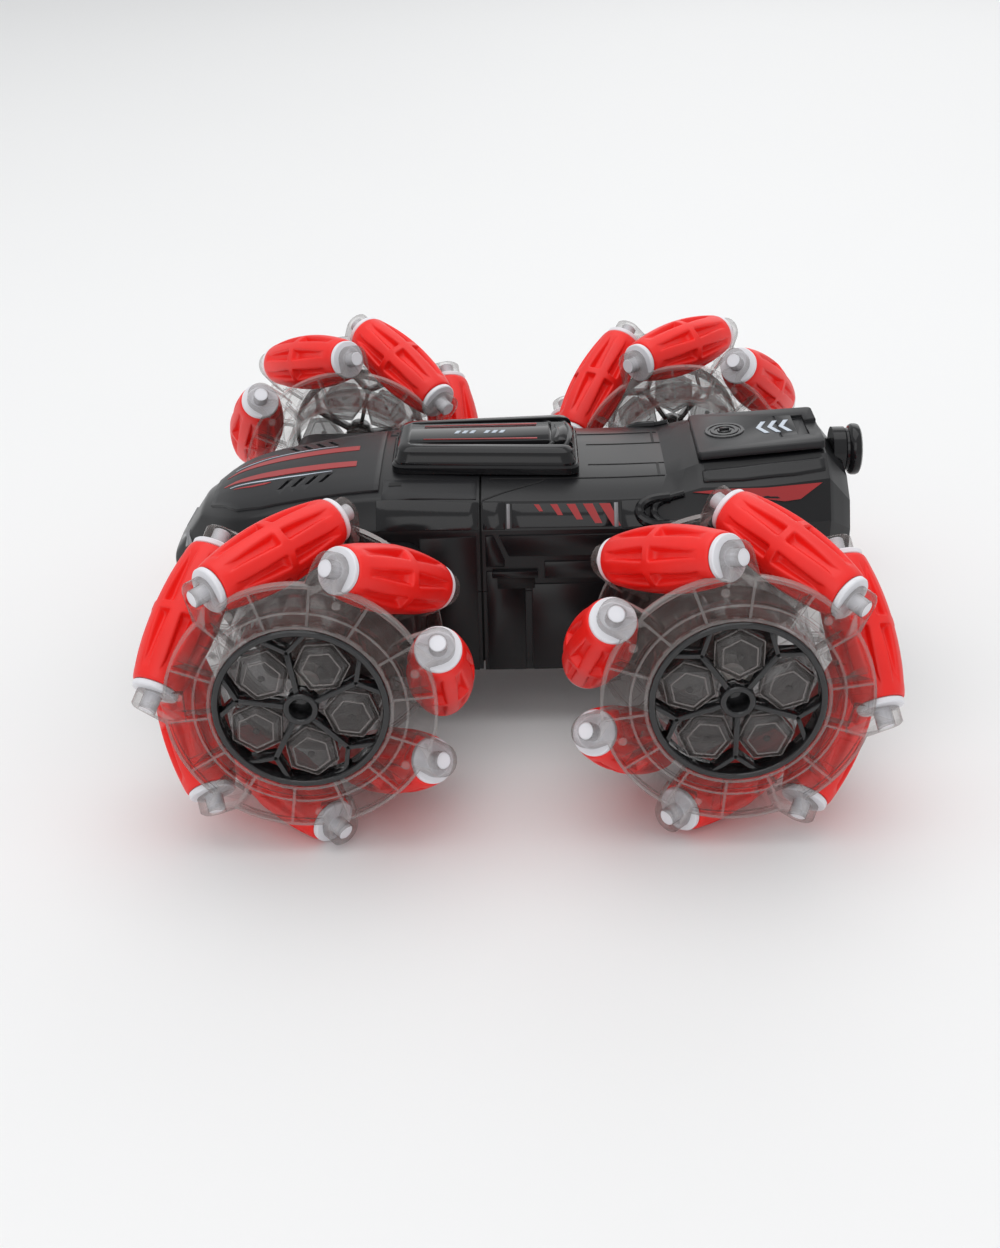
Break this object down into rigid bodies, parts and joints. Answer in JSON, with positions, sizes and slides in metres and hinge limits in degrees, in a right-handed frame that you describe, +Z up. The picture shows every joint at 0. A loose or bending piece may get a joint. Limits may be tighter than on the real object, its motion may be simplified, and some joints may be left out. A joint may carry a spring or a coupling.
{
  "type": "mecanum wheel robot",
  "caption": "Low remote-control stunt car with a faceted body on four motor-driven mecanum wheels, each a clear hub carrying barrel rollers set at 45 degrees.",
  "frame": {"origin": "on the ground, midway between the four wheels", "axes": "+X forward (nose), +Y to the car's left, +Z up"},
  "size_m": [0.2215, 0.2196, 0.095],
  "materials": {
    "roller_rubber": "satin red moulded soft rubber",
    "roller_core_white": "glossy white plastic",
    "smoke_clear": "polished clear smoke-grey plastic",
    "smoke_dark": "polished dark smoke plastic",
    "body_black": "semi-gloss black plastic",
    "pod_black": "gloss black plastic",
    "deck_black": "satin black plastic",
    "decal_red": "printed red film",
    "decal_pale": "printed pale blue-grey film",
    "housing_black": "matt black plastic",
    "gear_nylon": "matt off-white nylon",
    "motor_steel": "plated steel can",
    "battery_wrap": "blue shrink film",
    "board_green": "solder mask",
    "switch_black": "matt black plastic",
    "screw_steel": "zinc plated"
  },
  "bodies": {
    "chassis": {"battery_door": "housing_black", "battery_pack": "battery_wrap", "circuit_board": "board_green", "drive_motors": "motor_steel", "exhaust_tip": "body_black", "gearbox_housings": "housing_black", "lower_shell": "body_black", "rear_deck": "deck_black", "roof_pod": "pod_black", "shell_screws": "screw_steel", "upper_shell": "body_black"},
    "power_switch": {"power_switch": "switch_black"},
    "wheel_front_left": {"hub_outer_front_left": "smoke_clear", "hub_inner_front_left": "smoke_clear", "hub_cap_front_left": "smoke_dark", "axle_gear_front_left": "gear_nylon"},
    "pinion_front_left": {"motor_pinion_front_left": "gear_nylon"},
    "roller_front_left_1": {"roller_front_left_1": "roller_rubber"},
    "roller_front_left_2": {"roller_front_left_2": "roller_rubber"},
    "roller_front_left_3": {"roller_front_left_3": "roller_rubber"},
    "roller_front_left_4": {"roller_front_left_4": "roller_rubber"},
    "roller_front_left_5": {"roller_front_left_5": "roller_rubber"},
    "roller_front_left_6": {"roller_front_left_6": "roller_rubber"},
    "roller_front_left_7": {"roller_front_left_7": "roller_rubber"},
    "wheel_rear_left": {"hub_outer_rear_left": "smoke_clear", "hub_inner_rear_left": "smoke_clear", "hub_cap_rear_left": "smoke_dark", "axle_gear_rear_left": "gear_nylon"},
    "pinion_rear_left": {"motor_pinion_rear_left": "gear_nylon"},
    "roller_rear_left_1": {"roller_rear_left_1": "roller_rubber"},
    "roller_rear_left_2": {"roller_rear_left_2": "roller_rubber"},
    "roller_rear_left_3": {"roller_rear_left_3": "roller_rubber"},
    "roller_rear_left_4": {"roller_rear_left_4": "roller_rubber"},
    "roller_rear_left_5": {"roller_rear_left_5": "roller_rubber"},
    "roller_rear_left_6": {"roller_rear_left_6": "roller_rubber"},
    "roller_rear_left_7": {"roller_rear_left_7": "roller_rubber"},
    "wheel_front_right": {"hub_outer_front_right": "smoke_clear", "hub_inner_front_right": "smoke_clear", "hub_cap_front_right": "smoke_dark", "axle_gear_front_right": "gear_nylon"},
    "pinion_front_right": {"motor_pinion_front_right": "gear_nylon"},
    "roller_front_right_1": {"roller_front_right_1": "roller_rubber"},
    "roller_front_right_2": {"roller_front_right_2": "roller_rubber"},
    "roller_front_right_3": {"roller_front_right_3": "roller_rubber"},
    "roller_front_right_4": {"roller_front_right_4": "roller_rubber"},
    "roller_front_right_5": {"roller_front_right_5": "roller_rubber"},
    "roller_front_right_6": {"roller_front_right_6": "roller_rubber"},
    "roller_front_right_7": {"roller_front_right_7": "roller_rubber"},
    "wheel_rear_right": {"hub_outer_rear_right": "smoke_clear", "hub_inner_rear_right": "smoke_clear", "hub_cap_rear_right": "smoke_dark", "axle_gear_rear_right": "gear_nylon"},
    "pinion_rear_right": {"motor_pinion_rear_right": "gear_nylon"},
    "roller_rear_right_1": {"roller_rear_right_1": "roller_rubber"},
    "roller_rear_right_2": {"roller_rear_right_2": "roller_rubber"},
    "roller_rear_right_3": {"roller_rear_right_3": "roller_rubber"},
    "roller_rear_right_4": {"roller_rear_right_4": "roller_rubber"},
    "roller_rear_right_5": {"roller_rear_right_5": "roller_rubber"},
    "roller_rear_right_6": {"roller_rear_right_6": "roller_rubber"},
    "roller_rear_right_7": {"roller_rear_right_7": "roller_rubber"}
  },
  "joints": [
    {"name": "wheel_front_left_spin", "type": "hinge", "parent": "chassis", "child": "wheel_front_left", "pos_m": [0.06, 0.0864, 0.0475], "axis": [0, 1, 0], "continuous": true},
    {"name": "pinion_front_left_spin", "type": "hinge", "parent": "chassis", "child": "pinion_front_left", "pos_m": [0.04065, 0.05, 0.0475], "axis": [0, 1, 0], "continuous": true},
    {"name": "roller_front_left_1_spin", "type": "hinge", "parent": "wheel_front_left", "child": "roller_front_left_1", "pos_m": [0.03558, 0.0864, 0.07622], "axis": [0.5386, 0.7071, 0.4581], "continuous": true},
    {"name": "roller_front_left_2_spin", "type": "hinge", "parent": "wheel_front_left", "child": "roller_front_left_2", "pos_m": [0.06722, 0.0864, 0.0845], "axis": [0.694, 0.7071, -0.1355], "continuous": true},
    {"name": "roller_front_left_3_spin", "type": "hinge", "parent": "wheel_front_left", "child": "roller_front_left_3", "pos_m": [0.09343, 0.0864, 0.06492], "axis": [0.3268, 0.7071, -0.6271], "continuous": true},
    {"name": "roller_front_left_4_spin", "type": "hinge", "parent": "wheel_front_left", "child": "roller_front_left_4", "pos_m": [0.09447, 0.0864, 0.03222], "axis": [-0.2865, 0.7071, -0.6464], "continuous": true},
    {"name": "roller_front_left_5_spin", "type": "hinge", "parent": "wheel_front_left", "child": "roller_front_left_5", "pos_m": [0.06954, 0.0864, 0.01103], "axis": [-0.6841, 0.7071, -0.179], "continuous": true},
    {"name": "roller_front_left_6_spin", "type": "hinge", "parent": "wheel_front_left", "child": "roller_front_left_6", "pos_m": [0.03744, 0.0864, 0.0173], "axis": [-0.5665, 0.7071, 0.4232], "continuous": true},
    {"name": "roller_front_left_7_spin", "type": "hinge", "parent": "wheel_front_left", "child": "roller_front_left_7", "pos_m": [0.02232, 0.0864, 0.04631], "axis": [-0.0223, 0.7071, 0.7068], "continuous": true},
    {"name": "wheel_rear_left_spin", "type": "hinge", "parent": "chassis", "child": "wheel_rear_left", "pos_m": [-0.06, 0.0864, 0.0475], "axis": [0, 1, 0], "continuous": true},
    {"name": "pinion_rear_left_spin", "type": "hinge", "parent": "chassis", "child": "pinion_rear_left", "pos_m": [-0.04065, 0.05, 0.0475], "axis": [0, 1, 0], "continuous": true},
    {"name": "roller_rear_left_1_spin", "type": "hinge", "parent": "wheel_rear_left", "child": "roller_rear_left_1", "pos_m": [-0.04239, 0.0864, 0.08083], "axis": [-0.6252, 0.7071, 0.3303], "continuous": true},
    {"name": "roller_rear_left_2_spin", "type": "hinge", "parent": "wheel_rear_left", "child": "roller_rear_left_2", "pos_m": [-0.02296, 0.0864, 0.05451], "axis": [-0.1315, 0.7071, 0.6948], "continuous": true},
    {"name": "roller_rear_left_3_spin", "type": "hinge", "parent": "wheel_rear_left", "child": "roller_rear_left_3", "pos_m": [-0.03142, 0.0864, 0.02291], "axis": [0.4612, 0.7071, 0.536], "continuous": true},
    {"name": "roller_rear_left_4_spin", "type": "hinge", "parent": "wheel_rear_left", "child": "roller_rear_left_4", "pos_m": [-0.06141, 0.0864, 0.00983], "axis": [0.7066, 0.7071, -0.0264], "continuous": true},
    {"name": "roller_rear_left_5_spin", "type": "hinge", "parent": "wheel_rear_left", "child": "roller_rear_left_5", "pos_m": [-0.09033, 0.0864, 0.02511], "axis": [0.42, 0.7071, -0.5689], "continuous": true},
    {"name": "roller_rear_left_6_spin", "type": "hinge", "parent": "wheel_rear_left", "child": "roller_rear_left_6", "pos_m": [-0.09642, 0.0864, 0.05725], "axis": [-0.1829, 0.7071, -0.683], "continuous": true},
    {"name": "roller_rear_left_7_spin", "type": "hinge", "parent": "wheel_rear_left", "child": "roller_rear_left_7", "pos_m": [-0.07508, 0.0864, 0.08205], "axis": [-0.6481, 0.7071, -0.2828], "continuous": true},
    {"name": "wheel_front_right_spin", "type": "hinge", "parent": "chassis", "child": "wheel_front_right", "pos_m": [0.06, -0.0864, 0.0475], "axis": [0, 1, 0], "continuous": true},
    {"name": "pinion_front_right_spin", "type": "hinge", "parent": "chassis", "child": "pinion_front_right", "pos_m": [0.04065, -0.05, 0.0475], "axis": [0, 1, 0], "continuous": true},
    {"name": "roller_front_right_1_spin", "type": "hinge", "parent": "wheel_front_right", "child": "roller_front_right_1", "pos_m": [0.07402, -0.0864, 0.08249], "axis": [-0.6564, 0.7071, 0.2631], "continuous": true},
    {"name": "roller_front_right_2_spin", "type": "hinge", "parent": "wheel_front_right", "child": "roller_front_right_2", "pos_m": [0.04138, -0.0864, 0.08028], "axis": [-0.6149, 0.7071, -0.3491], "continuous": true},
    {"name": "roller_front_right_3_spin", "type": "hinge", "parent": "wheel_front_right", "child": "roller_front_right_3", "pos_m": [0.02276, -0.0864, 0.05339], "axis": [-0.1104, 0.7071, -0.6984], "continuous": true},
    {"name": "roller_front_right_4_spin", "type": "hinge", "parent": "wheel_front_right", "child": "roller_front_right_4", "pos_m": [0.03218, -0.0864, 0.02206], "axis": [0.4772, 0.7071, -0.5218], "continuous": true},
    {"name": "roller_front_right_5_spin", "type": "hinge", "parent": "wheel_front_right", "child": "roller_front_right_5", "pos_m": [0.06255, -0.0864, 0.00989], "axis": [0.7055, 0.7071, 0.0478], "continuous": true},
    {"name": "roller_front_right_6_spin", "type": "hinge", "parent": "wheel_front_right", "child": "roller_front_right_6", "pos_m": [0.091, -0.0864, 0.02604], "axis": [0.4025, 0.7071, 0.5814], "continuous": true},
    {"name": "roller_front_right_7_spin", "type": "hinge", "parent": "wheel_front_right", "child": "roller_front_right_7", "pos_m": [0.0961, -0.0864, 0.05835], "axis": [-0.2036, 0.7071, 0.6772], "continuous": true},
    {"name": "wheel_rear_right_spin", "type": "hinge", "parent": "chassis", "child": "wheel_rear_right", "pos_m": [-0.06, -0.0864, 0.0475], "axis": [0, 1, 0], "continuous": true},
    {"name": "pinion_rear_right_spin", "type": "hinge", "parent": "chassis", "child": "pinion_rear_right", "pos_m": [-0.04065, -0.05, 0.0475], "axis": [0, 1, 0], "continuous": true},
    {"name": "roller_rear_right_1_spin", "type": "hinge", "parent": "wheel_rear_right", "child": "roller_rear_right_1", "pos_m": [-0.06005, -0.0864, 0.0852], "axis": [0.7071, 0.7071, 0.001], "continuous": true},
    {"name": "roller_rear_right_2_spin", "type": "hinge", "parent": "wheel_rear_right", "child": "roller_rear_right_2", "pos_m": [-0.08951, -0.0864, 0.07096], "axis": [0.4401, 0.7071, 0.5535], "continuous": true},
    {"name": "roller_rear_right_3_spin", "type": "hinge", "parent": "wheel_rear_right", "child": "roller_rear_right_3", "pos_m": [-0.09674, -0.0864, 0.03906], "axis": [-0.1583, 0.7071, 0.6892], "continuous": true},
    {"name": "roller_rear_right_4_spin", "type": "hinge", "parent": "wheel_rear_right", "child": "roller_rear_right_4", "pos_m": [-0.07631, -0.0864, 0.01351], "axis": [-0.6375, 0.7071, 0.3059], "continuous": true},
    {"name": "roller_rear_right_5_spin", "type": "hinge", "parent": "wheel_rear_right", "child": "roller_rear_right_5", "pos_m": [-0.0436, -0.0864, 0.01356], "axis": [-0.6367, 0.7071, -0.3077], "continuous": true},
    {"name": "roller_rear_right_6_spin", "type": "hinge", "parent": "wheel_rear_right", "child": "roller_rear_right_6", "pos_m": [-0.02323, -0.0864, 0.03916], "axis": [-0.1564, 0.7071, -0.6896], "continuous": true},
    {"name": "roller_rear_right_7_spin", "type": "hinge", "parent": "wheel_rear_right", "child": "roller_rear_right_7", "pos_m": [-0.03056, -0.0864, 0.07105], "axis": [0.4416, 0.7071, -0.5522], "continuous": true},
    {"name": "power_switch_slide", "type": "slide", "parent": "chassis", "child": "power_switch", "axis": [1, 0, 0], "range_m": [0, 0.004]}
  ],
  "couplings": [
    {"joint": "pinion_front_left_spin", "follows": "wheel_front_left_spin", "ratio": -3},
    {"joint": "pinion_rear_left_spin", "follows": "wheel_rear_left_spin", "ratio": -3},
    {"joint": "pinion_front_right_spin", "follows": "wheel_front_right_spin", "ratio": -3},
    {"joint": "pinion_rear_right_spin", "follows": "wheel_rear_right_spin", "ratio": -3}
  ]
}
